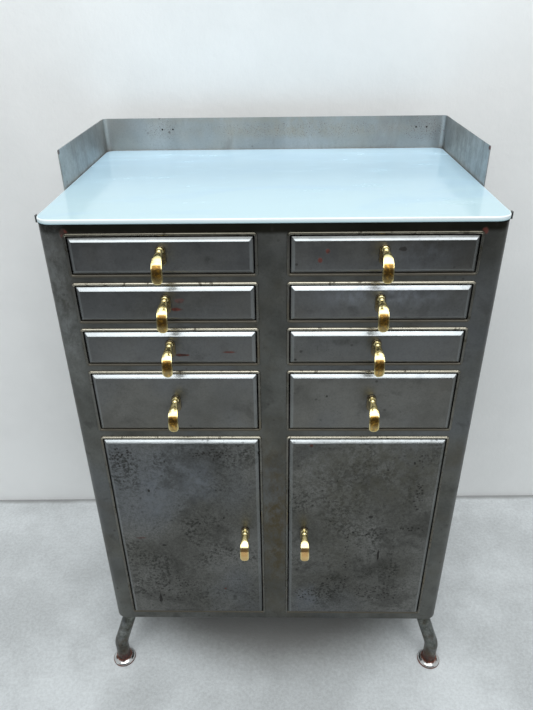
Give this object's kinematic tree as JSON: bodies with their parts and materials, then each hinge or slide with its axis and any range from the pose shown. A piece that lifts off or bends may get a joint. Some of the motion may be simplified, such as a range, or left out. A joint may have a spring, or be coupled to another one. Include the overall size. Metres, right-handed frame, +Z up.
{
  "type": "drawer cabinet",
  "caption": "Free-standing bare steel cabinet with bevelled drawers over two cupboard doors, brass pulls, a pale glass top inside a low gallery, and splayed tube legs.",
  "frame": {"origin": "floor under the middle of the whole cabinet's box", "axes": "+Z up, +X to the right as seen from the front, the front with its drawers and doors faces -Y"},
  "size_m": [0.787, 0.5654, 1.1605],
  "materials": {
    "body_steel": "bare polished steel with a dark patina, light rust in the corners",
    "front_steel": "bare polished steel, semi-gloss",
    "door_steel": "bare polished steel with mottled dark patina and rust pits",
    "rim_steel": "polished half-round bead, browned underneath",
    "gallery_steel": "bare steel with rust speckle",
    "inner_steel": "plain satin sheet",
    "plated_steel": "dull zinc plate",
    "leg_steel": "bare steel tube with a dark patina",
    "foot_chrome": "worn chrome with a rusty edge",
    "opaline_glass": "opaque pale blue opaline glass, polished",
    "pad_rubber": "matt",
    "pull_brass": "polished"
  },
  "bodies": {
    "cabinet": {"side_left": "body_steel", "side_right": "body_steel", "face_stiles": "body_steel", "face_rails": "body_steel", "opening_rims": "rim_steel", "back_panel": "body_steel", "top_panel": "body_steel", "bottom_pan": "body_steel", "liner_left": "inner_steel", "liner_right": "inner_steel", "centre_partition": "inner_steel", "mid_decks": "inner_steel", "cupboard_floors": "inner_steel", "drawer_runners": "plated_steel", "drawer_stops": "inner_steel", "shelves": "inner_steel", "shelf_pegs": "plated_steel", "hinge_pivots": "plated_steel", "door_catches": "plated_steel", "gallery": "gallery_steel", "gallery_screws": "plated_steel", "glass_top": "opaline_glass", "glass_pads": "pad_rubber", "glass_tabs": "body_steel", "leg_front_left": "leg_steel", "leg_front_right": "leg_steel", "leg_rear_left": "leg_steel", "leg_rear_right": "leg_steel", "feet": "foot_chrome", "leg_bolts": "plated_steel"},
    "drawer_left_1": {"drawer_left_1_box": "inner_steel", "drawer_left_1_front": "front_steel", "drawer_left_1_pull": "pull_brass"},
    "drawer_left_2": {"drawer_left_2_box": "inner_steel", "drawer_left_2_front": "front_steel", "drawer_left_2_pull": "pull_brass"},
    "drawer_left_3": {"drawer_left_3_box": "inner_steel", "drawer_left_3_front": "front_steel", "drawer_left_3_pull": "pull_brass"},
    "drawer_left_4": {"drawer_left_4_box": "inner_steel", "drawer_left_4_front": "front_steel", "drawer_left_4_pull": "pull_brass"},
    "door_left": {"door_left_skin": "door_steel", "door_left_liner": "inner_steel", "door_left_pull": "pull_brass"},
    "drawer_right_1": {"drawer_right_1_box": "inner_steel", "drawer_right_1_front": "front_steel", "drawer_right_1_pull": "pull_brass"},
    "drawer_right_2": {"drawer_right_2_box": "inner_steel", "drawer_right_2_front": "front_steel", "drawer_right_2_pull": "pull_brass"},
    "drawer_right_3": {"drawer_right_3_box": "inner_steel", "drawer_right_3_front": "front_steel", "drawer_right_3_pull": "pull_brass"},
    "drawer_right_4": {"drawer_right_4_box": "inner_steel", "drawer_right_4_front": "front_steel", "drawer_right_4_pull": "pull_brass"},
    "door_right": {"door_right_skin": "door_steel", "door_right_liner": "inner_steel", "door_right_pull": "pull_brass"}
  },
  "joints": [
    {"name": "drawer_left_1_slide", "type": "slide", "parent": "cabinet", "child": "drawer_left_1", "axis": [0, -1, 0], "range_m": [0, 0.36]},
    {"name": "drawer_left_2_slide", "type": "slide", "parent": "cabinet", "child": "drawer_left_2", "axis": [0, -1, 0], "range_m": [0, 0.36]},
    {"name": "drawer_left_3_slide", "type": "slide", "parent": "cabinet", "child": "drawer_left_3", "axis": [0, -1, 0], "range_m": [0, 0.36]},
    {"name": "drawer_left_4_slide", "type": "slide", "parent": "cabinet", "child": "drawer_left_4", "axis": [0, -1, 0], "range_m": [0, 0.36]},
    {"name": "door_left_hinge", "type": "hinge", "parent": "cabinet", "child": "door_left", "pos_m": [-0.3074, -0.22375, 0.4225], "axis": [0, 0, -1], "range_deg": [0, 105]},
    {"name": "drawer_right_1_slide", "type": "slide", "parent": "cabinet", "child": "drawer_right_1", "axis": [0, -1, 0], "range_m": [0, 0.36]},
    {"name": "drawer_right_2_slide", "type": "slide", "parent": "cabinet", "child": "drawer_right_2", "axis": [0, -1, 0], "range_m": [0, 0.36]},
    {"name": "drawer_right_3_slide", "type": "slide", "parent": "cabinet", "child": "drawer_right_3", "axis": [0, -1, 0], "range_m": [0, 0.36]},
    {"name": "drawer_right_4_slide", "type": "slide", "parent": "cabinet", "child": "drawer_right_4", "axis": [0, -1, 0], "range_m": [0, 0.36]},
    {"name": "door_right_hinge", "type": "hinge", "parent": "cabinet", "child": "door_right", "pos_m": [0.3074, -0.22375, 0.4225], "axis": [0, 0, 1], "range_deg": [0, 105]}
  ]
}
